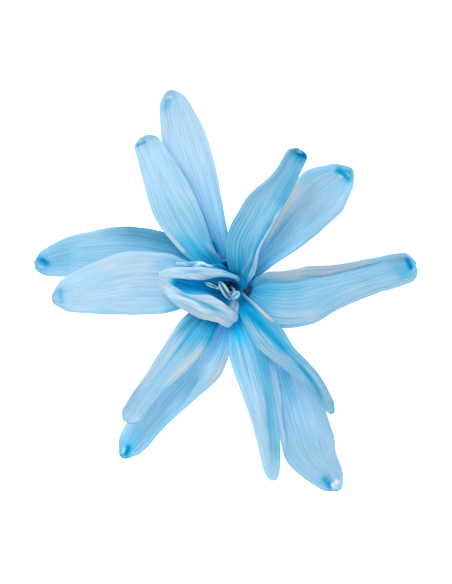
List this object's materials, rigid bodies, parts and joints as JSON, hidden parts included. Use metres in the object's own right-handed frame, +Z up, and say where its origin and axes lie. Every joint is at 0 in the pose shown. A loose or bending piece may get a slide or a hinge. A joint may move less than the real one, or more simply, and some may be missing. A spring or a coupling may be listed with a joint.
{
  "type": "preserved tuberose flower",
  "caption": "Single preserved double tuberose flower lying face up, with a short tube, layered arching petals with hooded tips, stamens and a pistil.",
  "frame": {"origin": "middle of the flat spot at the foot of the tube, on the surface that the flower lies on", "axes": "+Z up out of the flower's face, +X and +Y as right and up when it is seen from above"},
  "size_m": [0.048, 0.0507, 0.0133],
  "materials": {
    "tube": "matte, softly crinkled, deep sky blue",
    "petal": "matte, pleated lengthwise, pale sky blue with deeper blue veins and tips",
    "heart": "matte, pale greyish blue with deep blue folds",
    "anther": "powdery, pale aqua to cream",
    "stigma": "satin, pale aqua"
  },
  "bodies": {
    "root": {"perianth": "tube", "petal_top_left": "petal", "petal_top_right": "petal", "petal_right": "petal", "petal_bottom": "petal", "petal_bottom_left": "petal", "petal_left": "petal", "heart_petal_folded": "heart", "heart_petal_small": "heart", "stamens": "anther", "pistil": "stigma"}
  },
  "joints": []
}
